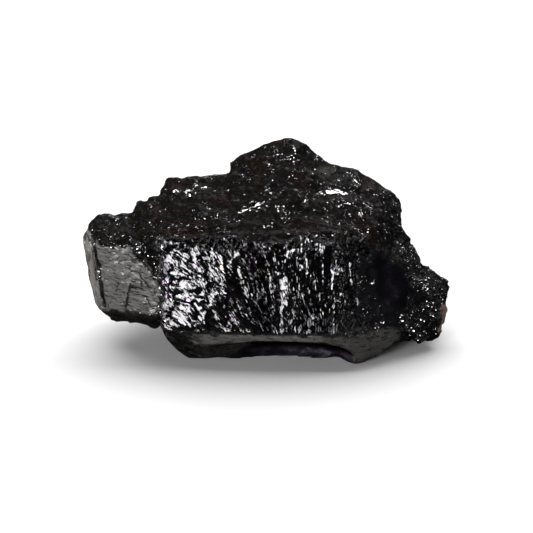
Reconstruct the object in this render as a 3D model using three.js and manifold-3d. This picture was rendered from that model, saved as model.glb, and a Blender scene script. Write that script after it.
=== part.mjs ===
// A nugget of noble shungite: one natural piece of nearly pure carbon, broken out along curved fractures.
//
// Millimetres, +Z up, +X along the nugget's length, and -Y is the ribbed front break.
// The origin is on the floor, under the middle of the bounding box.
// Each chunk below is the convex hull of its corners, as fractures leave it. The chunks are joined into one
// solid, and then the shell-shaped scars, which are parts of ellipsoids, are broken out of it.

import * as THREE from "three";
import { ConvexGeometry } from "three/addons/geometries/ConvexGeometry.js";
import { mergeVertices } from "three/addons/utils/BufferGeometryUtils.js";
import Module from "manifold-3d";

const wasm = await Module();
wasm.setup();

// Driving heights above the floor.
const SILL = 4.4; // lower edge of the ribbed front break
const LIP = 3.3; // lower edge of the narrow upright band under it
const BROW = 17; // upper edge of the ribbed front break
const TERRACE = 20; // the broken terrace behind the brow
const CREST = 25; // the highest point

// Driving depths. Negative is towards the front.
const TOE = -14; // the foremost point, where the nugget touches the floor
const FACE = -13.5; // the ribbed break at the sill
const RIM = -8.5; // the ribbed break at the brow

function solidFrom(geometry) {
  for (const name of ["normal", "uv"]) geometry.deleteAttribute(name);
  const merged = mergeVertices(geometry, 1e-4);
  return new wasm.Manifold(
    new wasm.Mesh({
      numProp: 3,
      vertProperties: merged.attributes.position.array,
      triVerts: new Uint32Array(merged.index.array),
    }),
  );
}

// A convex chunk of stone, from its corners.
function chunk(...corners) {
  return solidFrom(new ConvexGeometry(corners.map((corner) => new THREE.Vector3(...corner))));
}

// The hollow that a flake leaves: an ellipsoid, turned about X, Y and Z in degrees.
function scar(centre, radii, turn = [0, 0, 0]) {
  const geometry = new THREE.SphereGeometry(1, 30, 20);
  const rotation = new THREE.Euler(...turn.map(THREE.MathUtils.degToRad));
  geometry.applyMatrix4(
    new THREE.Matrix4().compose(
      new THREE.Vector3(...centre),
      new THREE.Quaternion().setFromEuler(rotation),
      new THREE.Vector3(...radii),
    ),
  );
  return solidFrom(geometry);
}

// The slab that carries the ribbed break in front and stands on the flat break underneath.
const slab = chunk(
  [-14, FACE + 1, SILL + 0.1],
  [-9, FACE + 0.1, SILL],
  [-2, FACE - 0.2, SILL - 0.1],
  [9.6, TOE, SILL + 0.1],
  [-11.6, FACE + 0.8, LIP + 0.2],
  [-9, FACE + 0.25, LIP],
  [-2, FACE, LIP - 0.2],
  [9.6, TOE + 0.2, LIP],
  [16.5, FACE + 2, SILL - 0.8],
  [-13.7, RIM + 0.5, BROW - 0.8],
  [-9, RIM - 0.3, BROW],
  [-2, RIM - 1, BROW + 0.6],
  [8, RIM - 0.4, BROW + 0.6],
  [13.8, RIM + 1.5, BROW - 0.5],
  [-13, 3, BROW + 0.5],
  [0, 5, BROW + 1.5],
  [12, 5, BROW + 0.5],
  [-15, 8.5, 10],
  [-9, 12, 13],
  [-2, 13.8, 12],
  [3.6, 14.5, 8.5],
  [9, 13.8, 12],
  [15, 10, 10],
  [-13, 8.5, 3],
  [-4, 12.2, 2.2],
  [5, 12.8, 1.6],
  [14, 8.5, 2.5],
  [-13.4, -11, 2.3],
  [-10.7, -12, 0],
  [8, -12, 0],
  [14, -10, 0],
  [14, 6, 0],
  [4, 9, 0],
  [-8, 7, 0],
);

// The foremost lump under the right of the slab, with clean flat faces that meet at an upright edge.
const toe = chunk(
  [5.3, FACE, SILL - 0.5],
  [9.6, TOE, SILL],
  [11.7, TOE - 0.3, SILL],
  [17.2, FACE + 1.5, SILL - 0.8],
  [17, -11.8, 2.2],
  [15.6, -12.4, 1],
  [11.7, TOE, 0],
  [9.5, -11.5, 0],
  [15, -9, 0],
  [14, -4, 6],
  [8, -4, 6],
);

// The lower block at the left end, cleaved flat in front.
const shoulder = chunk(
  [-23.2, -3, 16.8],
  [-18.5, -2.6, 16.5],
  [-22.1, -8, 14.8],
  [-17, -9, 14.8],
  [-24.7, -2, 12.9],
  [-23.8, -3, 7.2],
  [-23.1, -4, 4.5],
  [-22.1, -7, 5],
  [-15.3, -10, 5.6],
  [-21, -5, 2.3],
  [-18.1, -6, 2.5],
  [-14.8, -7, 2],
  [-12, -9, 13],
  [-12, -10.5, 6],
  [-21.5, 4, 12.8],
  [-22, 4.5, 8],
  [-13, 6, 14],
  [-13, 8, 5],
);

// The lowest step of the broken top, between the shoulder and the terrace.
const step = chunk(
  [-18.4, -2.6, 16.4],
  [-17.6, -0.5, 17.9],
  [-14.3, 0, 18],
  [-11, -7, 16.8],
  [-16.4, -7.6, 15.3],
  [-16.2, -7.8, 14.4],
  [-11, -8, 14],
  [-18.4, -2.8, 15.5],
  [-17.5, 3, 15.5],
  [-8, 5, 17.5],
  [-16, 6, 12],
  [-8, 6, 12],
  [-8, -4, 12],
);

const terrace = chunk(
  [-14.3, 0, 18],
  [-14.3, 0.6, TERRACE - 1],
  [-13.4, 2, TERRACE],
  [-10.8, 3, TERRACE + 0.1],
  [-5, 4, TERRACE + 0.1],
  [-12.9, 0, TERRACE - 0.8],
  [-8, 0.2, TERRACE - 0.5],
  [-2, 1, TERRACE - 0.1],
  [2, 4, TERRACE],
  [-12.5, -4, 17.8],
  [-12.3, -4.6, 16.6],
  [0, -5, 18.2],
  [0, -5.8, 17],
  [-14, 6, 17],
  [-4, 8, 18.5],
  [4, 9, 18],
  [-12, 8, 13],
  [4, 10.5, 13],
  [0, 0, 12],
);

const crest = chunk(
  [-4.9, 3.6, TERRACE + 0.6],
  [-5, 4, TERRACE + 1.8],
  [-3.8, 4.5, TERRACE + 2.9],
  [-1.3, 5, TERRACE + 3.1],
  [0.8, 5, CREST - 0.6],
  [3, 5, CREST + 0.2],
  [4.7, 5, CREST - 0.6],
  [6.9, 4.6, TERRACE + 2.6],
  [7.4, 2, TERRACE + 1],
  [-4.9, -1.6, TERRACE - 0.8],
  [-3.4, -4, TERRACE - 1.6],
  [2, -4.6, TERRACE - 1.4],
  [6, -2.5, TERRACE - 0.4],
  [-3.4, -4.6, 17],
  [2, -5.4, 17],
  [6.6, -3.4, 17],
  [-4, 7.5, 19.5],
  [3, 9, 22],
  [9, 8, 18.5],
  [-2, 10.5, 13],
  [8, 11, 13],
);

// The lower block behind the crest's right-hand side.
const rightBlock = chunk(
  [7, 4.6, TERRACE + 2],
  [9.6, 5.6, TERRACE + 0.7],
  [11.2, 6, TERRACE + 0.3],
  [15, 6, 18.6],
  [17.2, 5, 17.3],
  [18.4, 4, 16.1],
  [18.7, 2, 14.4],
  [18.6, 1, 13.1],
  [17.6, -3.4, 12.6],
  [14.4, -8.4, 13.6],
  [5.4, 4.6, TERRACE + 1.8],
  [5, -2.5, TERRACE - 1],
  [6.4, -3.9, TERRACE - 1.5],
  [6.4, -4.8, 17],
  [9.5, -1.2, TERRACE - 0.6],
  [14, -6, BROW - 0.4],
  [12, 9, 16],
  [17.5, 7, 12.5],
  [17, 7.5, 6],
  [10, 11, 9],
  [10, 0, 8],
);

// The tapering right-hand end, in an upper and a lower piece that meet in a hollow line.
const upperEnd = chunk(
  [14, -9.4, 14],
  [14, -11.2, 8],
  [18.6, -8.8, 9],
  [20.6, -4.6, 9.9],
  [20.4, -3.4, 10.4],
  [19.3, -1, 12.4],
  [18.5, 1, 13],
  [16, 4, 14],
  [20, 3.5, 8],
  [15.2, -10.9, 6],
  [19.4, -8.4, 7],
  [21.5, -4, 8],
  [12, -8, 4],
  [12, -4, 14],
  [15, 5, 4],
);

const lowerEnd = chunk(
  [15.4, -12, 4],
  [15.6, -11.1, 7],
  [17, -11.8, 2.2],
  [20.4, -10.2, 1.5],
  [22.4, -9.2, 0.8],
  [23.1, -8.8, 1.2],
  [23.2, -8, 3.2],
  [24.6, -6.3, 4.2],
  [24.4, -6, 6.4],
  [24.7, -5, 8],
  [23, -4.2, 9.2],
  [20.2, -3.6, 10.2],
  [18.8, -8.6, 8.9],
  [21, 4, 7],
  [22, 1, 3],
  [16, 6, 2.4],
  [12, -8, 4],
  [12, -4, 9],
);

const scars = [
  scar([17.4, -15.1, 13], [7.4, 7.4, 9], [-20, 0, 12]), // the dark shell to the right of the ribs
  scar([1.2, -15.2, 1.3], [11.4, 4.8, 2.2]), // the undercut beneath the sill
  scar([-6.5, 25.4, 6.5], [15.5, 15, 13]), // the largest shell on the back
  scar([12, 25.6, 4.5], [13, 14.5, 12]),
  scar([1, 16, 23], [10, 9.4, 9]), // behind the crest
  scar([15, 18.6, 18], [11, 12.5, 11]),
  scar([-26, 14, 9], [11, 12, 11]), // behind the shoulder
  scar([28, 7.5, 10], [8.5, 11, 12]), // on the far side of the right-hand end
];

const chunks = [slab, toe, shoulder, step, terrace, crest, rightBlock, upperEnd, lowerEnd];
const whole = chunks.reduce((joined, piece) => joined.add(piece));
const broken = scars.reduce((rest, hollow) => rest.subtract(hollow), whole);

function geometryFrom(solid) {
  const { vertProperties, triVerts } = solid.getMesh();
  return new THREE.BufferGeometry()
    .setAttribute("position", new THREE.BufferAttribute(vertProperties, 3))
    .setIndex(new THREE.BufferAttribute(triVerts, 1))
    .toNonIndexed();
}

const geometry = geometryFrom(broken);
geometry.computeVertexNormals();

const shungite = new THREE.MeshStandardMaterial({ color: 0x121112, roughness: 0.25, metalness: 0.3 });
const nugget = new THREE.Mesh(geometry, shungite);
nugget.name = "nugget";

const group = new THREE.Group();
group.add(nugget);
export default group;
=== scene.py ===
from math import cos, pi, radians, sin

import bmesh
import bpy
import numpy as np
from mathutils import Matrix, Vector
from mathutils.bvhtree import BVHTree
from mathutils.noise import noise_vector as wobble, seed_set


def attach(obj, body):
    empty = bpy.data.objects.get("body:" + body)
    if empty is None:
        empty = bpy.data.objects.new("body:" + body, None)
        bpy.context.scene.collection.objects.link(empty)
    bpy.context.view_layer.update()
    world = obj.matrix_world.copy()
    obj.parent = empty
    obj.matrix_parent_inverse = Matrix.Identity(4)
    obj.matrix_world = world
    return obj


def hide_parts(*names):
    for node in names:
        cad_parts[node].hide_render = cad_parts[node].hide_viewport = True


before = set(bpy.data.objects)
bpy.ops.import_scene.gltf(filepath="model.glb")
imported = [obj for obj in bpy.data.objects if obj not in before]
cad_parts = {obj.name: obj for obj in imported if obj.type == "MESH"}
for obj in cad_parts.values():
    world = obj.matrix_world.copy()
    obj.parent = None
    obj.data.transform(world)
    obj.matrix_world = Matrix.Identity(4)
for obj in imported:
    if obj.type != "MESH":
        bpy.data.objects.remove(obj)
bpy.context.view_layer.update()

# ---------------------------------------------------------------------------------------------
# The camera stands in front of the ribbed break, a quarter of a metre away, and looks down on the
# nugget a little.
MM = 0.001
VIEW_TILT = radians(25)
VIEW_DISTANCE = 260 * MM
VIEW_WIDTH = 73 * MM  # what the picture takes in at the nugget
look_at = Vector((0, 0, 8 * MM))

scene = bpy.context.scene
camera = bpy.data.objects.new("camera", bpy.data.cameras.new("camera"))
camera.location = look_at + VIEW_DISTANCE * Vector((0, -cos(VIEW_TILT), sin(VIEW_TILT)))
camera.rotation_euler = (radians(90) - VIEW_TILT, 0, 0)
camera.data.lens = camera.data.sensor_width * VIEW_DISTANCE / VIEW_WIDTH
camera.data.clip_start = 10 * MM
scene.collection.objects.link(camera)
scene.camera = camera

# ---------------------------------------------------------------------------------------------
# The floor is a sheet of matt white card, wide enough to fill the picture. The glossy stone mirrors
# it much darker than it is, as it would the shaded side of a table.
FLOOR_HALF = 2.0
FLOOR_WHITE = 0.93
FLOOR_MIRRORED = 0.035
ROOM_GREY = 0.012


def grey(level):
    return (level, level, level, 1)


sheet = bpy.data.meshes.new("floor")
corners = [(-1, -1), (1, -1), (1, 1), (-1, 1)]
sheet.from_pydata([(x * FLOOR_HALF, y * FLOOR_HALF, 0) for x, y in corners], [], [(0, 1, 2, 3)])
floor = bpy.data.objects.new("floor", sheet)
scene.collection.objects.link(floor)

card = bpy.data.materials.new("white card")
card.use_nodes = True
paper = card.node_tree.nodes["Principled BSDF"]
paper.inputs["Roughness"].default_value = 1
paper.inputs["Specular IOR Level"].default_value = 0
ray = card.node_tree.nodes.new("ShaderNodeLightPath")
shade = card.node_tree.nodes.new("ShaderNodeMix")
shade.data_type = "RGBA"
shade.inputs["A"].default_value = grey(FLOOR_WHITE)
shade.inputs["B"].default_value = grey(FLOOR_MIRRORED)
card.node_tree.links.new(ray.outputs["Is Glossy Ray"], shade.inputs["Factor"])
card.node_tree.links.new(shade.outputs["Result"], paper.inputs["Base Color"])
sheet.materials.append(card)

room = bpy.data.worlds.new("room")
room.use_nodes = True
room.node_tree.nodes["Background"].inputs["Color"].default_value = grey(ROOM_GREY)
scene.world = room
scene.view_settings.view_transform = "Standard"

# ---------------------------------------------------------------------------------------------
# Softboxes. The large one above and behind whitens the floor and throws the soft shadow forwards.
# The others are what the glossy breaks mirror. Each is given by the direction that it stands in,
# its distance, its width and height, and how bright its face is.
ARM = 0.7  # how far from the nugget most of them stand
SPARK = 8  # how bright the small ones are, which only make glints


def softbox(name, azimuth, elevation, distance, width, height, brightness, mirrored=True, lights=True):
    lamp = bpy.data.lights.new(name, "AREA")
    lamp.shape = "RECTANGLE"
    lamp.size = width
    lamp.size_y = height
    lamp.energy = brightness * width * height * pi
    azimuth, elevation = radians(azimuth), radians(elevation)
    towards = Vector((sin(azimuth) * cos(elevation), -cos(azimuth) * cos(elevation), sin(elevation)))
    lit = bpy.data.objects.new(name, lamp)
    lit.location = look_at + distance * towards
    lit.rotation_euler = towards.to_track_quat("Z", "Y").to_euler()
    lit.visible_glossy = mirrored
    lit.visible_diffuse = lights
    lit.visible_camera = False
    scene.collection.objects.link(lit)


def sparks(name, side, directions):
    for azimuth, elevation in directions:
        softbox(f"{name} {azimuth}", azimuth, elevation, ARM, side, side, SPARK, lights=False)


softbox("sky panel", 180, 51, 1.1, 1.9, 0.9, 5.3, mirrored=False)
softbox("front window", -35, 15, ARM, 0.30, 0.30, 11.3)
softbox("window surround", -42, 14, ARM + 0.02, 0.44, 0.5, 0.34, lights=False)
sparks("front spark", 0.045, ((-22, 50), (0, 54), (14, 60), (-8, 66)))
softbox("left side", -85, 6, ARM, 0.20, 0.20, 7)
softbox("right strip", 80, 50, ARM, 0.05, 0.04, 12, lights=False)
softbox("right wall", 100, 25, ARM + 0.1, 0.9, 0.8, 0.06, lights=False)
softbox("back wall", 180, 40, ARM + 0.1, 0.9, 0.7, 0.05, lights=False)
softbox("back strip", 180, 52, ARM, 0.12, 0.1, 6, lights=False)
softbox("back low", 178, 4, ARM + 0.1, 0.25, 0.05, 4, lights=False)
sparks("spark", 0.03, [(30 * step + 8, 72 - 20 * (step % 2)) for step in range(12)])
sparks("back spark", 0.055, ((125, 42), (138, 30), (150, 40), (160, 27), (168, 38)))
sparks("right spark", 0.04, ((42, 8), (55, 26), (66, 4), (72, 18), (84, -2)))

# ---------------------------------------------------------------------------------------------
# The nugget is one piece of nearly pure natural carbon, black and glassy. It wasn't shaped by hand:
# it broke out of a vein, and every face of it is a fracture with its own grain.
GRAIN = 0.35 * MM  # the smallest step that the surface holds, and half of it where it is finely broken
FINE_BACK = 4 * MM  # how far back, and down to what height, it is cut finely
FINE_FOOT = 2 * MM
SAME_CORNER = 0.002 * MM

cut = bmesh.new()
cut.from_mesh(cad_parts["nugget"].data)
bmesh.ops.remove_doubles(cut, verts=cut.verts, dist=SAME_CORNER)
bmesh.ops.recalc_face_normals(cut, faces=cut.faces)
cut.faces.ensure_lookup_table()
breaks = BVHTree.FromBMesh(cut)
facings = [face.normal.copy() for face in cut.faces]
rough_cut = bpy.data.meshes.new("nugget_rough_cut")
cut.to_mesh(rough_cut)
cut.free()

stone = bpy.data.objects.new("nugget_stone", rough_cut)
scene.collection.objects.link(stone)


def settle(piece):
    """Turns the piece's modifiers into plain mesh."""
    whole = piece.evaluated_get(bpy.context.evaluated_depsgraph_get())
    piece.data = bpy.data.meshes.new_from_object(whole)
    piece.modifiers.clear()


remesh = stone.modifiers.new("grain", "REMESH")
remesh.mode = "VOXEL"
remesh.voxel_size = GRAIN
settle(stone)

# Each kind of break: how ribbed, rough, glassy and satin it is, how dull, and how matt.
# The matt kinds also get a very weak dark mirror; on the undercut it is painted shade.
KINDS = ("ribbed", "rough", "glassy", "satin", "dull", "matt")
RIBBED = (1, 0, 0, 0, 0, 0)
BAND = (0, 0.7, 0, 0, 1, 0)
TOP = (0, 1, 0, 0, 1, 0)
CRUMBLED = (0, 1, 0, 0, 0.2, 0)
SHELL = (0, 0.4, 0.2, 0, 0, 1)
SHELL_RIM = (0, 0.8, 0, 0, 0, 0.42)
BACK = (0, 0.45, 0.55, 0, 0.4, 0)
SATIN = (0, 0, 0, 1, 0, 0)
SILL_SATIN = (0, 0, 0, 0.74, 0, 0)
TOE_SATIN = (0, 0, 0, 0.52, 0, 0)
STRIATED = (0.3, 0, 0, 0.4, 0, 0)
BEVEL = (0, 0.8, 0, 0.25, 0.3, 0)
# The undercut is matt and dark all over, as painted shade.
UNDERCUT = (0, 0.3, 0, 0, 0, 1)

# The hollow ball shapes that the dark shell and the undercut are parts of.
SHELL_MIDDLE = Vector((17.4, -15.1, 13))
SHELL_REACH = Vector((7.4, 7.4, 9))
UNDERCUT_MIDDLE = Vector((1.2, -15.2, 1.3))
UNDERCUT_REACH = Vector((11.4, 4.8, 2.2))

# Where the breaks give way to one another, in millimetres: along the nugget (X), from the front to
# the back (Y) and in height (Z).
UNDERSIDE_TOP = 0.6
UNDER_RIBS_X = (-15, 17.5)
UNDER_RIBS_BACK = -8
SILL_X = (-10, 7)
SILL_Z = (2.8, 4.5)
TOE_LEFT = 4
SHOULDER_RIGHT = -14.3
SHOULDER_BACK = -2
SHOULDER_Z = (4, 15)
EDGE_X = (-21.28, -20.7)
EDGE_Z = (5, 15)
END_RIGHT = -21
END_BACK = 0.5
END_Z = (4, 14.5)
BEVEL_RIGHT = -12.5
SHELL_LEFT = 14.2
RIM_LEFT = 12
RIM_FRONT = -13
RIBS_X = (-14.2, 13.6)
RIBS_Z = (4.1, 16.3)
RIBS_BACK = -6
BAND_X = (-15, 15)
BAND_Z = (13, 17.8)
BAND_BACK = -6.5
RIGHT_CRUMBLED = (14, -2)  # where it begins, from the left, and how far back it reaches
LEFT_CRUMBLED = (-13, -7)  # the same, from the right
BACK_FRONT = 3

# The borders between them wander the same way on every run.
BORDER_SEED = 2
seed_set(BORDER_SEED)


def within(at, middle, reach):
    """Less than 1 inside a ball shape, 1 on its surface."""
    return sum(((at[axis] - middle[axis]) / reach[axis]) ** 2 for axis in range(3))


def between(value, ends):
    return ends[0] < value < ends[1]


def kind_of_break(spot, facing):
    """The kind of break at a place, given which way the solid's plain face looks there."""
    at = spot / MM
    x, y, z = at + wobble(at / 1.6) * 0.8 + wobble(at / 0.5) * 0.3

    # The flat break underneath, and the undercut, which slants off at both ends; both get the undercut's
    # dark finish, a painted shade.
    if facing.z < -0.9 and z < UNDERSIDE_TOP:
        return UNDERCUT
    left_end = 2.0 * at.z - 6.0
    ceiling = 4.6 - 0.62 * max(0, x - 5.5)
    if x > left_end and z < ceiling and within(at, UNDERCUT_MIDDLE, UNDERCUT_REACH) < 1.1:
        return UNDERCUT

    # The satin band under the ribs, the toe, and the striated bevel at the band's left end.
    height = at.z + wobble(at / 1.3).z * 0.3
    if between(x, UNDER_RIBS_X) and y < UNDER_RIBS_BACK and height < SILL_Z[1]:
        if between(x, SILL_X) and z > SILL_Z[0]:
            return SILL_SATIN
        return TOE_SATIN if x > TOE_LEFT else STRIATED

    # The shoulder: a crumbled upright edge between the cleaved end and the cleaved front, and the
    # bevel underneath.
    edge = at.x + at.z * 0.12 + wobble(at / 1.1).x * 0.25
    if between(edge, EDGE_X) and y < SHOULDER_BACK and between(z, EDGE_Z):
        return CRUMBLED
    if x < END_RIGHT and y < END_BACK and between(z, END_Z) and facing.x < -0.75:
        return SATIN
    # Only upright faces get the satin grey, which is partly a painted sheen; the bevel below faces down,
    # keeps less of it and stays darker, as painted shade.
    upright = between(facing.z, (-0.3, 0.5))
    if x < SHOULDER_RIGHT and y < SHOULDER_BACK and between(z, SHOULDER_Z) and upright:
        return SATIN if z < 14.6 - 1.3 * max(0, x + 17.6) else CRUMBLED
    if x < BEVEL_RIGHT and facing.z < -0.3:
        return BEVEL

    # The dark shell to the right of the ribs, and its rougher rim.
    if x > RIM_LEFT and y > RIM_FRONT and within((x, y, z), SHELL_MIDDLE, SHELL_REACH) < 1.15:
        return SHELL if x > SHELL_LEFT and z > 7.8 - 0.5 * (x - 15) else SHELL_RIM

    # The ribs, up to a ragged edge with a tongue in it, and the dull band along the brow.
    tongue = max(0, 2 - abs(at.x - 3.8)) * 0.6
    top = RIBS_Z[1] + wobble(Vector((at.x / 2.6, 0, 7))).x * 1.4 + tongue
    if between(x, RIBS_X) and y < RIBS_BACK and RIBS_Z[0] < z < top and facing.y < -0.6:
        return RIBBED
    if between(x, BAND_X) and y < BAND_BACK and between(z, BAND_Z):
        return BAND

    # The crumbled ends, the back, and the broken top.
    if x > RIGHT_CRUMBLED[0] and y < RIGHT_CRUMBLED[1] or x < LEFT_CRUMBLED[0] and y < LEFT_CRUMBLED[1]:
        return CRUMBLED
    return BACK if y > BACK_FRONT and facing.y > 0.3 else TOP


def mark_breaks(mesh):
    """Keeps the kind of break with each point of the mesh, with borders that wander a little."""
    kinds = []
    for vertex in mesh.vertices:
        face = breaks.find_nearest(vertex.co + wobble(vertex.co / MM / 0.9) * 0.5 * MM)[2]
        kinds.append(kind_of_break(vertex.co, facings[face]))
    kinds = np.array(kinds, float)
    for column, name in enumerate(KINDS):
        mesh.attributes.new(name, "FLOAT", "POINT").data.foreach_set("value", kinds[:, column])
    return dict(zip(KINDS, kinds.T))


# The front and the top are broken finer than the rest, so the mesh is cut once more there.
kinds = mark_breaks(stone.data)
finely_broken = (kinds["ribbed"] > 0.5) | (kinds["rough"] > 0.5) | (kinds["satin"] > 0.7)
fine = bmesh.new()
fine.from_mesh(stone.data)
in_reach = [vertex.co.y < FINE_BACK and vertex.co.z > FINE_FOOT for vertex in fine.verts]
cut_again = finely_broken & np.array(in_reach)
edges = [edge for edge in fine.edges if all(cut_again[vertex.index] for vertex in edge.verts)]
bmesh.ops.subdivide_edges(fine, edges=edges, cuts=1, use_grid_fill=True)
bmesh.ops.triangulate(fine, faces=[face for face in fine.faces if len(face.verts) > 4])
fine.to_mesh(stone.data)
fine.free()


class Amount:
    """A number or a direction that varies over the nugget: a node's socket, with arithmetic."""

    def __init__(self, socket):
        self.socket = socket

    def calc(self, operation, *others):
        return worked_out("ShaderNodeMath", self, *others, operation=operation)

    def vector(self, operation, *others):
        return worked_out("ShaderNodeVectorMath", self, *others, operation=operation)

    def scaled(self, factor):
        scaled = self.vector("SCALE")
        feed(factor, scaled.socket.node.inputs["Scale"])
        return scaled

    def __add__(self, other):
        return self.calc("ADD", other)

    def __sub__(self, other):
        return self.calc("SUBTRACT", other)

    def __rsub__(self, other):
        return (self * -1.0) + other

    def __mul__(self, other):
        return self.calc("MULTIPLY", other)

    def __truediv__(self, other):
        return self.calc("DIVIDE", other)

    __radd__ = __add__
    __rmul__ = __mul__

    def rise(self, low, high):
        """0 below low, 1 above high, and a smooth rise between them."""
        return worked_out("ShaderNodeMapRange", self, low, high, interpolation_type="SMOOTHSTEP")

    def ramp(self, low, high):
        """0 below low, 1 above high, and a straight slope between them."""
        return worked_out("ShaderNodeMapRange", self, low, high)

    def split(self):
        node = worked_out("ShaderNodeSeparateXYZ", self).socket.node
        return [Amount(socket) for socket in node.outputs]


def feed(value, socket):
    if isinstance(value, Amount):
        socket.id_data.links.new(value.socket, socket)
    else:
        socket.default_value = value


def outcome(node):
    return Amount(next(socket for socket in node.outputs if socket.enabled))


def worked_out(node_type, *values, **settings):
    """Makes a node with these settings, feeds its inputs in order, and gives what comes out of it."""
    tree = next(value.socket.id_data for value in values if isinstance(value, Amount))
    node = tree.nodes.new(node_type)
    for name, setting in settings.items():
        setattr(node, name, setting)
    for value, socket in zip(values, node.inputs):
        feed(value, socket)
    return outcome(node)


def joined(x, y, z):
    return worked_out("ShaderNodeCombineXYZ", x, y, z)


def in_millimetres(where):
    return where.scaled(1 / MM)


def in_steps(where, *sizes):
    """The place, counted in steps of these sizes, or of this one size each way."""
    return where.vector("DIVIDE", sizes * 3 if len(sizes) == 1 else sizes)


# What a random colour's parts are on average.
HALVES = (0.5, 0.5, 0.5)


def lumps(where, detail=2.0, roughness=0.5):
    """Soft lumps about a unit across: (one amount from 0 to 1, three more joined as a direction)."""
    lump = worked_out("ShaderNodeTexNoise", where)
    node = lump.socket.node
    node.inputs["Scale"].default_value = 1
    node.inputs["Detail"].default_value = detail
    node.inputs["Roughness"].default_value = roughness
    return lump, Amount(node.outputs["Color"])


def noise(where, detail=2.0, roughness=0.5):
    return lumps(where, detail, roughness)[0]


def ragged(where, step, reach):
    """The place, shifted a little here and there, which leaves straight edges ragged."""
    shift = lumps(in_steps(where, step))[1].vector("SUBTRACT", HALVES)
    return where.vector("ADD", shift.scaled(reach * 2.0))


def ridges(where, detail=2.0):
    """Sharp crests about a unit apart, from 0 in the troughs to 1 on the crests."""
    return 1 - ((noise(where, detail) - 0.5).calc("ABSOLUTE") * 4).calc("MINIMUM", 1.0)


def cells(where):
    """A pavement of cells about a unit across: (place within the cell, a random colour for each cell)."""
    node = worked_out("ShaderNodeTexVoronoi", where).socket.node
    node.inputs["Scale"].default_value = 1
    return where.vector("SUBTRACT", Amount(node.outputs["Position"])), Amount(node.outputs["Color"])


def chips(where):
    """Flat chips about a unit across, each tilted its own way: the height over their middle plane."""
    inside, chance = cells(where)
    return inside.vector("DOT_PRODUCT", chance.vector("SUBTRACT", HALVES))


def along_line(where, start, end):
    """(the place, counted from the start of a short straight line, and how far it is from the line)."""
    run = Vector(end) - Vector(start)
    reach = where.vector("SUBTRACT", start)
    ahead = reach.vector("DOT_PRODUCT", run.normalized()).calc("MAXIMUM", 0.0).calc("MINIMUM", run.length)
    nearest = joined(*[ahead * part for part in run.normalized()])
    return reach, reach.vector("DISTANCE", nearest)


# The ribs fan out from the point where the front break began, below its right-hand part, and bend
# over towards the left.
FAN_X = 7.3
FAN_Z = -5.0
FAN_REACH = 15.0  # how far from that point the distance across the ribs is true to size
FAN_BEND = 0.35
FAN_BEND_X = -9.0  # how far to the left of that point the bend begins
FAN_WANDER = 2.2
FAN_WANDER_STEP = 5.0
FAN_DEPTH = 0.15


def fan_of(place):
    """(across the ribs, along them, depth), in millimetres, of a place in millimetres."""
    x, y, z = place.split()
    aside = x - FAN_X
    above = z - FAN_Z - (FAN_BEND_X - aside).calc("MAXIMUM", 0.0) * FAN_BEND
    across = aside.calc("ARCTAN2", above.calc("MAXIMUM", 1.0)) * FAN_REACH
    across = across + (noise(in_steps(place, FAN_WANDER_STEP), 1.0) - 0.5) * FAN_WANDER
    along = (aside * aside + above * above).calc("SQRT")
    return joined(across, along, y * FAN_DEPTH)


def splintered(across):
    """1 in the left part of the front break, which split into plates, and 0 in the rest."""
    return 1 - across.rise(-13.8, -10.3)


# The flakes that stand out on the front break: where each begins and ends (x and z), half its width,
# and how steeply its face leans to the left.
FLAKES = (
    ((-13.3, 14.7), (-11.7, 13.1), 0.5, 0.1),
    ((-12.6, 11.9), (-10.4, 11.5), 0.35, 0.1),
    ((-12.2, 10.7), (-9.3, 10.1), 0.45, 0.1),
    ((-11.6, 8.9), (-8.1, 8.5), 0.5, 0.1),
    ((-11.7, 7.8), (-8.9, 7.3), 0.4, 0.1),
    ((-12.1, 6.8), (-10.3, 5.4), 0.6, 0.12),
    ((-10.2, 13.2), (-8.2, 12.0), 0.23, 0.15),
    ((-10.8, 15.3), (-8.8, 13.6), 0.25, 0.15),
    ((-8.9, 6.8), (-7.6, 5.4), 0.26, 0.2),
    ((-9.6, 8.3), (-8.0, 6.4), 0.3, 0.15),
    ((-8.3, 8.4), (-5.4, 5.8), 0.23, 0.25),
    ((-6.9, 10.8), (-4.8, 9.3), 0.2, 0.3),
    ((-4.8, 9.3), (-4.3, 7.3), 0.23, 0.3),
    ((-8.0, 14.2), (-6.7, 11.8), 0.12, 0.22),
    ((-5.4, 13.4), (-4.6, 11.4), 0.12, 0.3),
    ((-3.9, 12.8), (-3.1, 11.1), 0.13, 0.3),
    ((-1.7, 12.5), (-1.2, 10.5), 0.12, 0.3),
    ((0.3, 9.9), (0.4, 8.0), 0.12, 0.3),
    ((1.0, 12.6), (2.0, 10.8), 0.16, 0.3),
    ((2.2, 11.3), (2.4, 8.0), 0.75, 0.3),
    ((2.1, 8.0), (1.8, 5.2), 0.42, 0.3),
    ((5.2, 14.0), (5.2, 12.2), 0.13, 0.33),
    ((5.6, 10.1), (5.6, 8.0), 0.12, 0.33),
    ((6.7, 7.0), (6.6, 5.4), 0.13, 0.33),
    ((7.4, 13.4), (7.3, 10.8), 0.14, 0.35),
    ((8.6, 12.5), (8.5, 10.3), 0.18, 0.4),
    ((9.0, 14.6), (9.3, 12.6), 0.12, 0.7),
    ((10.9, 13.1), (11.2, 10.4), 0.12, 0.8),
    ((11.8, 8.7), (12.1, 7.7), 0.13, 0.8),
)

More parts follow.
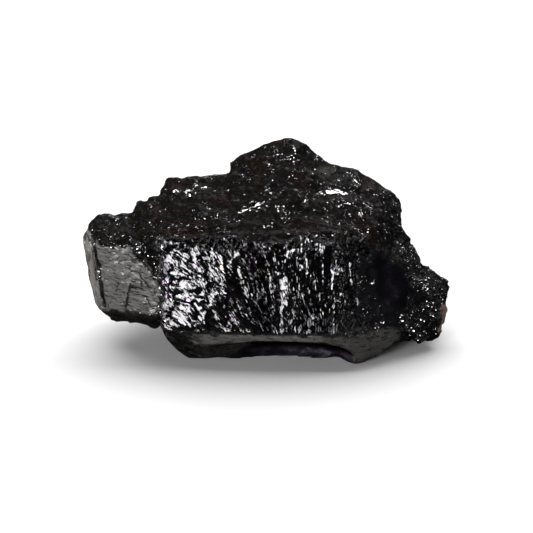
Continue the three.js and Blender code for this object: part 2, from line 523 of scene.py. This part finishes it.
# The flat treads of the ledges on the broken top: where each begins and ends (x and y), half its
# width, and how steeply its face leans back.
TREADS = (
    ((-4.1, -5.0), (-3.2, -4.6), 0.2, 0.34),
    ((-3.0, -4.4), (-1.6, -3.8), 0.28, 0.34),
    ((-1.4, -3.8), (-0.4, -3.5), 0.2, 0.34),
    ((4.0, -4.1), (5.0, -3.8), 0.22, 0.0),
    ((8.3, -1.0), (10.6, -0.8), 0.35, 0.17),
    ((-12.4, -0.4), (-12.0, -0.3), 0.16, 0.13),
    ((-11.0, -0.5), (-9.9, -0.3), 0.13, 0.13),
    ((-8.5, 0.3), (-8.1, 0.5), 0.16, 0.13),
)

# How high, deep or steep each feature of the breaks is. The heights are in millimetres.
FRACTURE_SIZES = {
    "Warp": 0.3,
    "Rib height": 0.0576,
    "Plate lift": 0.3,
    "Brow wear": 0.9,
    "Ledge height": 0.44,
    "Lump height": 0.7,
    "Bulge height": 1.2,
    "Large chip lift": 0.56,
    "Small chip lift": 0.315,
    "Ripple height": 0.1,
    "Swell height": 0.4,
    "Clean swell height": 0.1,
    "Streak height": 0.3,
    "Fold height": 0.18,
    "Pit depth": 0.1,
    "Step depth": 0.22,
}

fracture = bpy.data.node_groups.new("fracture", "GeometryNodeTree")
fracture.interface.new_socket("Geometry", in_out="INPUT", socket_type="NodeSocketGeometry")
fracture.interface.new_socket("Geometry", in_out="OUTPUT", socket_type="NodeSocketGeometry")
for name in FRACTURE_SIZES:
    fracture.interface.new_socket(name, in_out="INPUT", socket_type="NodeSocketFloat")
given = fracture.nodes.new("NodeGroupInput")
size = {name: Amount(given.outputs[name]) for name in FRACTURE_SIZES}


def softened(value, kind, times):
    node = fracture.nodes.new("GeometryNodeBlurAttribute")
    node.data_type = kind
    node.inputs["Iterations"].default_value = times
    feed(value, next(socket for socket in node.inputs if socket.enabled))
    return outcome(node)


def share(name, times=2):
    """How far a kind of break holds at a place, softened across its border."""
    node = fracture.nodes.new("GeometryNodeInputNamedAttribute")
    node.inputs["Name"].default_value = name
    return softened(outcome(node), "FLOAT", times)


def here():
    return outcome(fracture.nodes.new("GeometryNodeInputPosition"))


def moved(geometry, **places):
    node = fracture.nodes.new("GeometryNodeSetPosition")
    fracture.links.new(geometry, node.inputs["Geometry"])
    for name, place in places.items():
        feed(place, node.inputs[name])
    return node.outputs[0]


def along_normal(lift):
    """An offset of this many millimetres, outwards."""
    return outcome(fracture.nodes.new("GeometryNodeInputNormal")).scaled(lift * MM)


def flaked(relief, where, level_of_all, flakes, leaning):
    """Sets flat flakes into a relief: (the relief, 1 on the flakes and 0 beside them)."""
    on_flakes = 0.0
    for start, end, half_width, lean in flakes:
        start, end = Vector(start + level_of_all), Vector(end + level_of_all)
        reach, beside = along_line(where, start, end)
        inside = 1 - beside.ramp(half_width * 0.8, half_width * 1.2)
        face = reach.vector("SUBTRACT", (end - start) / 2).vector("DOT_PRODUCT", leaning) * lean
        relief = relief * (1 - inside) + face * inside
        on_flakes = inside.calc("MAXIMUM", on_flakes)
    return relief, on_flakes


# First the sharp edges wear round and the whole break warps a little, except on the clean faces.
WORN_TIMES = 4
WARP_STEP = 3.4

worn = moved(given.outputs["Geometry"], Position=softened(here(), "FLOAT_VECTOR", WORN_TIMES))
loose = 1 - share("satin") * 0.6
bend = (noise(in_steps(in_millimetres(here()), WARP_STEP)) - 0.5) * size["Warp"] * loose
warped = moved(worn, Offset=along_normal(bend))

# Then come the ribs, plates and flakes of the front break. Their sizes are across the ribs, along
# them, and in depth. The ribs begin a little above the point that they fan out from.
RIBS = (1.3, 10.0, 2.0)
FINE_RIBS = (0.5, 4.0, 2.0)
RIB_STRENGTH = (1.6, 3.0, 2.0)
PLATES = (1.5, 2.6, 2.0)
SMALL_PLATES = (0.45, 0.9, 1.0)
FLATTENED = 0.1  # how much the depth counts for flakes and treads, which are placed as if on a sheet
FLAKE_LEVEL = (-1.1,)  # where that sheet lies, in flattened depth for the flakes
TREAD_LEVEL = (1.9,)  # and in flattened height for the treads
RAGGED_EDGES = (0.9, 0.35)  # how long the ins and outs of their edges are, and how deep

place = in_millimetres(here())
x, y, z = place.split()
fan = fan_of(place)
across, along, _ = fan.split()
strength = 0.4 + noise(in_steps(fan, *RIB_STRENGTH), 1.0).rise(0.35, 0.6) * 0.9
ribs = ridges(in_steps(fan, *RIBS)) + ridges(in_steps(fan, *FINE_RIBS)) * strength
ribs = ribs * along.rise(8.0, 14.0) * (1 - splintered(across) * 0.6)
plates = chips(in_steps(fan, *PLATES)) * (0.3 + splintered(across) * 1.2)
plates = plates + chips(in_steps(fan, *SMALL_PLATES)) * 0.4
front = (ribs * size["Rib height"] + plates * size["Plate lift"]) * (along / FAN_REACH).calc("MINIMUM", 1.0)
in_front = ragged(joined(x, z, y * FLATTENED), *RAGGED_EDGES)
front, on_flake = flaked(front, in_front, FLAKE_LEVEL, FLAKES, (1.0, 0.0, 0.0))
front = softened(front * share("ribbed"), "FLOAT", 1)

# The upper edge of the front break is worn back.
brow = (z + (noise(in_steps(place, 2.2), 1.0) - 0.5) * 4.0).rise(14.2, 17.4) * (1 - y.rise(-8.5, -4.5))
brow = brow * x.rise(-15.0, -13.0) * (1 - x.rise(12.0, 14.0))
front = front - brow * size["Brow wear"]

# The rough breaks have ledges, lumps and chips.
LEDGES = (7.0, 2.6, 3.0)
LEDGE_COUNT = 7.0
LUMP_STEP = 3.4
BULGE_STEP = 2.4
LARGE_CHIPS = (3.0, 2.2, 2.2)
SMALL_CHIPS = (1.2, 1.0, 1.0)

level = noise(in_steps(place, *LEDGES), 3.0, 0.6) * LEDGE_COUNT
ledges = (level.calc("FLOOR") + level.calc("FRACT").rise(0.0, 0.25)) / LEDGE_COUNT - 0.5
rough = ledges * size["Ledge height"]
rough = rough + (noise(in_steps(place, LUMP_STEP)) - 0.5) * size["Lump height"]
rough = rough + (noise(in_steps(place, BULGE_STEP), 1.0) - 0.5) * size["Bulge height"]
rough = rough + chips(in_steps(place, *LARGE_CHIPS)) * size["Large chip lift"]
rough = rough + chips(in_steps(place, *SMALL_CHIPS)) * size["Small chip lift"]
on_top = ragged(joined(x, y, z * FLATTENED), *RAGGED_EDGES)
rough, on_tread = flaked(rough, on_top, TREAD_LEVEL, TREADS, (0.0, -1.0, 0.0))
rough = softened(rough * share("rough"), "FLOAT", 1)

# The shell-like breaks of the back have ripples around the point where they began.
RIPPLE_MIDDLE = (3.0, 14.0, 2.0)
SWELL_STEP = 5.0

swell = noise(in_steps(place, SWELL_STEP)) - 0.5
rings = (place.vector("DISTANCE", RIPPLE_MIDDLE) * 2.1 + swell * 9.0).calc("SINE")
glassy = (rings * size["Ripple height"] + swell * size["Swell height"]) * share("glassy")

# The clean faces have pits. The shoulder's front also has a shallow step, to the right of a leaning
# line, and slanting folds further right, and its left end has upright streaks.
PITS = (0.9, 0.5, 0.5)
STEP_X = -18.06
STEP_TOP = 9.55
STEP_LEAN = 0.217

pits = 1 - noise(in_steps(place, *PITS), 1.0).rise(0.3, 0.38)
shoulder_only = 1 - x.rise(-13.5, -12.5)
step = (x - STEP_X + (STEP_TOP - z) * STEP_LEAN).rise(0.0, 0.15) * (1 - z.rise(9.2, 9.7)) * shoulder_only
slant = (x + z) * 0.7
folds = ridges(joined(slant / 0.9, z / 5.0, y / 5.0)) * slant.rise(-5.2, -3.8) * shoulder_only
streaks = ridges(joined((x + z * 0.2) / 0.6, z / 5.0, y / 4.0)) * (1 - x.rise(-22.4, -21.8))
clean = swell * size["Clean swell height"] + streaks * size["Streak height"] + folds * size["Fold height"]
clean = (clean - pits * size["Pit depth"] - step * size["Step depth"]) * share("satin")

# All of it together. The nugget rests on the flat break underneath: nothing goes below the floor.
BELOW_ALL = -1.0

broken = moved(warped, Offset=along_normal(front + rough + glassy + clean))
resting = moved(broken, Position=here().vector("MAXIMUM", (BELOW_ALL, BELOW_ALL, 0.0)))


def marked(geometry, name, value):
    """Keeps an amount with the mesh, for the finish."""
    node = fracture.nodes.new("GeometryNodeStoreNamedAttribute")
    node.inputs["Name"].default_value = name
    fracture.links.new(geometry, node.inputs["Geometry"])
    feed(value, next(socket for socket in node.inputs if socket.name == "Value" and socket.enabled))
    return node.outputs[0]


kept = marked(resting, "flake", on_flake * share("ribbed"))
kept = marked(kept, "tread", on_tread * share("rough"))
for name in KINDS:
    kept = marked(kept, name, share(name, 1))

carbon = bpy.data.materials.new("black glassy carbon")
realize = fracture.nodes.new("GeometryNodeRealizeInstances")
finish = fracture.nodes.new("GeometryNodeSetMaterial")
finish.inputs["Material"].default_value = carbon
ready = fracture.nodes.new("NodeGroupOutput")
fracture.links.new(kept, realize.inputs[0])
fracture.links.new(realize.outputs[0], finish.inputs["Geometry"])
fracture.links.new(finish.outputs[0], ready.inputs["Geometry"])

breaking = stone.modifiers.new("fracture", "NODES")
breaking.node_group = fracture
for socket in fracture.interface.items_tree:
    if socket.in_out == "INPUT" and socket.name in FRACTURE_SIZES:
        breaking[socket.identifier] = FRACTURE_SIZES[socket.name]
settle(stone)
stone.data.shade_smooth()

# The finish: black all through, glassy where the break is fresh, dull and brownish on the rough breaks, and
# satin grey with fine cracks on the clean faces; that grey is partly dust and partly a painted sheen.
OLIVE_BLACK = (0.0062, 0.0053, 0.0033, 1)
BLUE_BLACK = (0.0036, 0.0032, 0.0046, 1)
BROWN_BLACK = (0.0105, 0.0044, 0.0037, 1)
RUST = (0.16, 0.105, 0.075, 1)
PALE_GREY = (0.38, 0.37, 0.35, 1)

# What the shiny breaks mirror, as a metal's colour.
FRESH_SHINE = (0.088, 0.0858, 0.0896, 1)
# A weaker mirror for patches of the front break, as painted shade.
PAINTED_SHADE_SHINE = (0.028, 0.027, 0.03, 1)
SPANGLE_SHINE = (0.46, 0.45, 0.46, 1)
# The dark shell's own weak mirror, also put on the undercut as painted shade.
SHELL_SHINE_AND_PAINTED_SHADE = (0.017, 0.0148, 0.0205, 1)
# The satin greys are only partly metal, so part of them shows as plain grey: partly dust, partly a painted
# sheen.
SATIN_SHINE = (0.264, 0.257, 0.247, 1)
DULL_SATIN = (0.034, 0.0325, 0.031, 1)
VIOLET_SHEEN = (0.2, 0.145, 0.215, 1)
GOLD_SHEEN = (0.23, 0.205, 0.16, 1)

# The dull breaks mirror about half as much as most smooth stones do.
WEAK_MIRROR = 0.26

# Where the rough breaks are stained brown: the middle of each patch and how far it reaches.
STAINS = (
    ((-0.8, 1.0, 22.7), 1.8),
    ((4.4, 0.5, 21.6), 1.7),
    ((-1.2, -3.5, 20.1), 1.2),
    ((-6.3, -2.0, 19.0), 1.6),
    ((-11.0, -7.0, 17.4), 3.0),
    ((-12.0, 0.5, 20.1), 1.8),
    ((14.0, -6.1, 16.5), 2.6),
    ((14.0, 5.0, 18.8), 1.9),
)

# Where the surface is paler: the middle of each patch, how far it reaches, and its colour.
PALE = (
    ((8.1, 2.7, 21.1), 1.7, (0.04, 0.037, 0.028, 1)),
    ((10.5, 2.8, 20.1), 1.5, (0.009, 0.009, 0.0075, 1)),
    ((4.4, -10.1, 15.0), 0.6, (0.05, 0.048, 0.04, 1)),
    ((-9.6, -12.5, 6.7), 0.7, (0.05, 0.04, 0.028, 1)),
)

# Where the right-hand end is rusty: the middle of each patch and how far it reaches.
RUSTY = (
    ((24.7, -6.6, 4.4), 1.6),
    ((23.8, -7.8, 2.8), 0.9),
)

# Where the front break gets a weaker mirror, so that it looks dark there, as painted shade: the middle of
# each patch and how far it reaches.
PAINTED_SHADE_PATCHES = (
    ((-14.1, -8.3, 14.5), 1.4),
    ((-14.1, -9.4, 11.8), 1.5),
    ((-14.1, -10.2, 8.8), 1.5),
    ((-14.0, -11.6, 6.0), 1.3),
    ((-1.3, -10.0, 16.4), 1.8),
    ((-1.3, -11.5, 14.5), 2.0),
    ((-1.2, -12.5, 11.5), 1.9),
    ((-0.8, -13.0, 8.5), 1.7),
    ((-0.2, -13.5, 6.0), 1.5),
    ((5.4, -13.3, 8.0), 1.6),
    ((5.2, -13.6, 6.0), 1.4),
    ((7.8, -13.5, 6.0), 1.5),
    ((12.8, -9.5, 14.0), 2.8),
    ((13.4, -10.5, 10.5), 2.8),
    ((13.4, -11.5, 7.0), 2.6),
)

# Where many fine facets glitter: the middle of each patch and how far it reaches.
GLITTER = (
    ((3.9, -10.0, 15.5), 1.9),
    ((-2.6, -11.9, 10.1), 0.6),
    ((4.4, -11.0, 12.8), 0.6),
    ((9.6, -12.0, 8.8), 0.9),
    ((9.3, -11.0, 12.3), 1.0),
    ((6.0, -12.0, 11.5), 0.6),
    ((6.0, -13.0, 6.5), 0.7),
    ((21.1, -6.7, 8.8), 1.1),
    ((19.3, -9.1, 6.8), 1.0),
    ((18.2, -10.4, 4.7), 1.1),
    ((22.8, -7.7, 4.6), 0.8),
    ((14.8, -6.6, 14.2), 1.2),
    ((-20.5, -8.0, 14.5), 1.1),
    ((-18.5, -8.3, 14.5), 1.1),
    ((-16.6, -8.8, 14.1), 1.2),
)

# The larger cracks of the shoulder's front: where each begins and ends (x and z) and half its width.
CRACKS = (
    ((-18.0, 9.7), (-18.8, 6.1), 0.12),
    ((-17.9, 9.2), (-16.4, 9.1), 0.16),
    ((-18.0, 8.3), (-15.6, 8.0), 0.07),
    ((-16.9, 11.6), (-16.1, 10.3), 0.09),
    ((-16.1, 10.3), (-15.3, 9.3), 0.12),
    ((-15.9, 7.9), (-15.3, 6.6), 0.08),
    ((-15.3, 6.6), (-14.3, 6.9), 0.08),
    ((-16.4, 13.2), (-14.6, 11.0), 0.1),
)

carbon.use_nodes = True
looks = carbon.node_tree
skin = looks.nodes["Principled BSDF"]
skin.inputs["Specular IOR Level"].default_value = WEAK_MIRROR


def stored(name):
    node = looks.nodes.new("ShaderNodeAttribute")
    node.attribute_name = name
    return Amount(node.outputs["Fac"])


def blended(amount, under, over):
    node = looks.nodes.new("ShaderNodeMix")
    node.data_type = "RGBA"
    feed(amount, node.inputs["Factor"])
    feed(under, node.inputs["A"])
    feed(over, node.inputs["B"])
    return Amount(node.outputs["Result"])


def patches(places):
    """1 in the patches around these places, 0 elsewhere, with ragged edges."""
    inside = 0.0
    around = ragged(spot, 1.2, 1.2)
    for middle, reach in places:
        outside = around.vector("DISTANCE", middle).rise(reach * 0.6, reach * 1.2)
        inside = (1 - outside).calc("MAXIMUM", inside)
    return inside


spot = in_millimetres(Amount(looks.nodes.new("ShaderNodeTexCoord").outputs["Object"]))
x, y, z = spot.split()
fan = fan_of(spot)
is_ribbed, is_rough, is_satin = stored("ribbed"), stored("rough"), stored("satin")
is_dull, is_matt_or_painted_shade, is_flake = stored("dull"), stored("matt"), stored("flake")
is_tread = stored("tread").calc("GREATER_THAN", 0.5)
is_clean = is_satin.rise(0.1, 0.4)
is_rusty = patches(RUSTY)
glitter = patches(GLITTER)
cloud = noise(in_steps(spot, 2.6))
stained = (cloud.rise(0.54, 0.66) * 0.7).calc("MAXIMUM", patches(STAINS))

# The marks on the clean faces are cracks, hair-fine splits here and there, and short level dashes.
SPLITS = (1.8, 1.8, 0.9)
DASHES = (1.1, 1.1, 0.75)


def splits(where, width):
    """1 along thin splits between cells about a unit across, 0 elsewhere."""
    gap = worked_out("ShaderNodeTexVoronoi", where, feature="DISTANCE_TO_EDGE")
    gap.socket.node.inputs["Scale"].default_value = 1
    return 1 - gap.rise(0.0, width)


def cracked(cracks):
    """1 on these cracks, given by their ends (x and z) and half widths, 0 elsewhere."""
    x, _, z = ragged(spot, 0.7, 0.3).split()
    on_face = joined(x, z, 0.0)
    inside = 0.0
    for start, end, half_width in cracks:
        beside = along_line(on_face, start + (0.0,), end + (0.0,))[1]
        inside = (1 - beside.rise(half_width * 0.5, half_width * 1.3)).calc("MAXIMUM", inside)
    return inside


hair_splits = splits(in_steps(spot, *SPLITS), 0.05) * noise(in_steps(spot, 1.3), 1.0).rise(0.45, 0.6)
dash_place, dash_chance = cells(in_steps(spot, *DASHES))
dash_x, _, dash_z = dash_place.split()
dashes = 1 - (dash_z + dash_x * 0.2).calc("ABSOLUTE").rise(0.05, 0.12)
dashes = dashes * (1 - (dash_x.calc("ABSOLUTE") / dash_chance.split()[1]).rise(0.3, 0.45))
shoulder_cracks = cracked(CRACKS) * (1 - x.rise(-13.5, -13.0))
marks = hair_splits.calc("MAXIMUM", dashes).calc("MAXIMUM", shoulder_cracks)

# The rough breaks sparkle in clumps, most at the right-hand end, and less on stained and pale spots.
clumps = noise(in_steps(spot, 2.0, 1.6, 1.6), 1.0).rise(0.5, 0.62) * (1 - x.rise(14.0, 16.0) * 0.4)
right_end = x.rise(9.0, 13.0) * noise(in_steps(spot, 2.4), 1.0).rise(0.42, 0.6)
clumps = clumps.calc("MAXIMUM", glitter * 1.25).calc("MAXIMUM", right_end * 0.95)
pale = patches([(middle, reach) for middle, reach, _ in PALE])
clumps = clumps * (1 - stained * 0.8) * (1 - pale * 0.8)

# Which way the surface faces, in facets that are too fine for the mesh. Their sizes on the front
# break are across the ribs, along them, and in depth.
FINE_LINES = (0.4, 3.0, 2.0)
SATIN_GRAIN = (0.5, 0.25, 0.25)
RIB_FACETS = (0.16, 0.38, 1.0)
RIB_FACET_GROUPS = (1.3, 3.5, 2.0)
RIB_CRESTS = (0.8, 7.0, 2.0)
RIB_CREST_GROUPS = (1.5, 3.0, 2.0)
SPLINTERS = (0.2, 1.1, 1.0)
SCALES = (0.3, 0.45, 1.0)
ROUGH_FACETS = (0.2, 0.15, 0.15)
DOTS = (0.27, 0.23, 0.18)
SHORT_LINES = (1.0, 0.4, 0.22)
TREAD_FACETS = (0.35, 0.2, 0.2)
FLAKE_FACETS = (0.18, 0.4, 1.0)
BURSTS = (0.2, 0.5, 1.0)
BURST_FACETS = (0.14, 0.3, 1.0)
SATIN_STROKES = (1.1, 1.1, 0.28)
SATIN_FACETS = (0.3, 0.3, 0.12)

# The ways that the treads and the brightest flakes of the front break lie.
TREAD_FACING = (0.0, -0.233, 0.972)
FLAKE_FACING = (-0.283, -0.896, 0.342)

# The cells of the spangles start from facings in steps this large, and lean down a little.
FACING_STEP = 0.14
LEANING_HALVES = (0.5, 0.5, 0.8)


def facets(where, tilt):
    """A small turn, another one in each cell of a pavement."""
    return cells(where)[1].vector("SUBTRACT", HALVES).scaled(tilt)


def spangled(facing, where, activity, tilt):
    """Turns some cells of a pavement their own way, flat, as small breaks do. The activity is the
    share of the cells that are turned. Gives (the facing, 1 on the cells that are turned)."""
    chance = cells(where)[1]
    active = chance.split()[2].calc("GREATER_THAN", 1 - activity)
    turned = facing.vector("SNAP", (FACING_STEP,) * 3).vector("ADD", (FACING_STEP / 2,) * 3)
    turned = turned.vector("ADD", chance.vector("SUBTRACT", LEANING_HALVES).scaled(tilt))
    return facing.scaled(1 - active).vector("ADD", turned.scaled(active)), active


def faced(facing, mask, towards, pieces):
    """Turns the places under the mask all one way, apart from small pieces."""
    return facing.scaled(1 - mask).vector("ADD", pieces.vector("ADD", towards).scaled(mask))


relief = looks.nodes.new("ShaderNodeBump")
relief.inputs["Strength"].default_value = 1
relief.inputs["Distance"].default_value = MM
lines = ridges(in_steps(fan, *FINE_LINES)) * 0.03 * (1 - splintered(fan.split()[0]) * 0.5)
satin_grain = noise(in_steps(spot, *SATIN_GRAIN), 3.0) * 0.04
feed(lines * is_ribbed + satin_grain * is_satin, relief.inputs["Height"])
normal = Amount(relief.outputs[0])

# The ribs: facets that tilt more in some places than in others, splintered crests, and scales.
tilt = noise(in_steps(fan, *RIB_FACET_GROUPS), 1.0).rise(0.38, 0.62) * 0.22 + 0.13 - is_flake * 0.1
normal = normal.vector("ADD", facets(in_steps(fan, *RIB_FACETS), is_ribbed * tilt))
crests = ridges(in_steps(fan, *RIB_CRESTS), 0.0).rise(0.8, 0.95)
crests = crests * noise(in_steps(fan, *RIB_CREST_GROUPS), 1.0).rise(0.4, 0.6)
on_ribs = is_ribbed * (0.12 + crests * 0.5) * (1 - is_flake)
normal, _ = spangled(normal, in_steps(fan, *SPLINTERS), on_ribs, 0.6)
on_scales = is_ribbed * (0.06 + glitter * 0.5 + is_flake * 0.2)
normal, _ = spangled(normal, in_steps(fan, *SCALES), on_scales, 0.6)

# The rough breaks: fine facets, and the dots and short lines that sparkle.
normal = normal.vector("ADD", facets(in_steps(spot, *ROUGH_FACETS), is_rough * 0.55))
on_rough = is_rough * (0.03 + clumps * 0.34) * (1 - is_matt_or_painted_shade.rise(0.1, 0.6))
normal, dots = spangled(normal, in_steps(ragged(spot, 0.4, 0.25), *DOTS), on_rough, 0.9)
around = ragged(spot, 0.6, 0.3)
normal, short_lines = spangled(normal, in_steps(around, *SHORT_LINES), on_rough * 0.25, 0.9)
spangle = dots.calc("MAXIMUM", short_lines).calc("MAXIMUM", is_tread)

# The treads, the flakes on the right half of the front, and the glittering bursts among the ribs.
normal = faced(normal, is_tread, TREAD_FACING, facets(in_steps(spot, *TREAD_FACETS), 0.12))
right_flake = is_flake.calc("GREATER_THAN", 0.5) * x.calc("GREATER_THAN", 4.0)
normal = faced(normal, right_flake, FLAKE_FACING, facets(in_steps(fan, *FLAKE_FACETS), 0.34))
burst = cells(in_steps(fan, *BURSTS))[1].split()[0].calc("GREATER_THAN", 0.62)
burst = burst * glitter.calc("GREATER_THAN", 0.5) * is_ribbed.calc("GREATER_THAN", 0.5)
normal = faced(normal, burst, FLAKE_FACING, facets(in_steps(fan, *BURST_FACETS), 0.36))

# The clean faces: strokes, finer facets, and a dip along each mark.
normal = normal.vector("ADD", facets(in_steps(spot, *SATIN_STROKES), is_satin * 0.2))
normal = normal.vector("ADD", facets(in_steps(spot, *SATIN_FACETS), is_satin * 0.2))
normal = normal.vector("SUBTRACT", joined(0.0, 0.0, marks * is_satin.rise(0.1, 0.5) * 0.9))
feed(normal.vector("NORMALIZE"), skin.inputs["Normal"])

# The colour of the dull breaks: olive, bluish and brown blacks, in fine grains.
GRAINS = (0.22, 0.16, 0.16)

bluish = noise(in_steps(spot, 1.7)).rise(0.5, 0.6).calc("MAXIMUM", x.rise(13.0, 17.0))
colour = blended(stained, blended(bluish, OLIVE_BLACK, BLUE_BLACK), BROWN_BLACK)
for middle, reach, pale_shade in PALE:
    colour = blended(patches([(middle, reach)]), colour, pale_shade)
grains = noise(in_steps(spot, *GRAINS), 1.0, 0.7).rise(0.3, 0.7) * 1.7 + 0.15
colour = colour.scaled(grains * (0.2 + is_dull * 0.55))

# What the shiny breaks mirror, and the satin grey of the clean faces, mottled; that grey is partly dust and
# partly a painted sheen.
MOTTLE = (1.4, 1.4, 0.35)

# The fresh front break mirrors, less in the patches of painted shade.
colour = blended(is_ribbed, colour, blended(patches(PAINTED_SHADE_PATCHES), FRESH_SHINE, PAINTED_SHADE_SHINE))
# The matt kinds take the weak dark mirror: the dark shell's own, and painted shade on the undercut.
colour = blended(is_matt_or_painted_shade, colour, SHELL_SHINE_AND_PAINTED_SHADE)
mottle = noise(in_steps(spot, *MOTTLE), 3.0, 0.7) * 1.6 + 0.1
satin_dust_and_sheen = blended(is_satin.rise(0.3, 1.1), DULL_SATIN, SATIN_SHINE)
colour = blended(is_clean, colour, satin_dust_and_sheen.scaled((1 - marks * 0.75) * mottle))

# The nugget's left end is weathered in pale and dark upright streaks. The striated bevel under the
# ribs shows dark beds.
weathered = is_satin * (1 - x.rise(-22.7, -22.0)) * (1 - y.rise(-2.0, 1.5))
streaky = noise(joined((x + z * 0.2) / 0.4, z / 3.0, y / 1.4), 2.0, 0.6)
colour = blended(weathered * streaky.rise(0.5, 0.6), colour, PALE_GREY)
colour = colour.scaled(1 - weathered * (1 - streaky.rise(0.4, 0.48)) * 0.85)
bedded = ridges(joined((z + x * 0.45) / 0.6, (x - z) / 5.0, y / 3.0)).rise(0.3, 0.8)
bedded = bedded * is_satin.rise(0.1, 0.3) * (1 - x.rise(-9.5, -8.0)) * (1 - z.rise(4.0, 5.0))
colour = colour.scaled(1 - bedded * 0.7)

# Last come the sparkles, the rust, and a violet or golden sheen on a few of the ribs.
colour = blended(spangle, colour, SPANGLE_SHINE)
colour = blended(is_rusty, colour, RUST)
hue = noise(in_steps(spot, 0.9), 1.0)
tinted = hue.rise(0.68, 0.72).calc("MAXIMUM", 1 - hue.rise(0.28, 0.32)) * is_ribbed
colour = blended(tinted, colour, blended(hue.rise(0.45, 0.55), VIOLET_SHEEN, GOLD_SHEEN))
feed(colour, skin.inputs["Base Color"])

metal = (is_ribbed + is_satin * 0.6).calc("MAXIMUM", spangle).calc("MAXIMUM", is_matt_or_painted_shade).calc("MINIMUM", 1.0)
feed(metal * (1 - is_rusty), skin.inputs["Metallic"])
dull = is_rough * (1 - spangle) * 0.26 + is_satin * 0.3 + is_matt_or_painted_shade * 0.28 + is_rusty * 0.5
feed(0.06 + is_ribbed * 0.06 + cloud * 0.04 + dull, skin.inputs["Roughness"])

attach(stone, "root")
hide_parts("nugget")
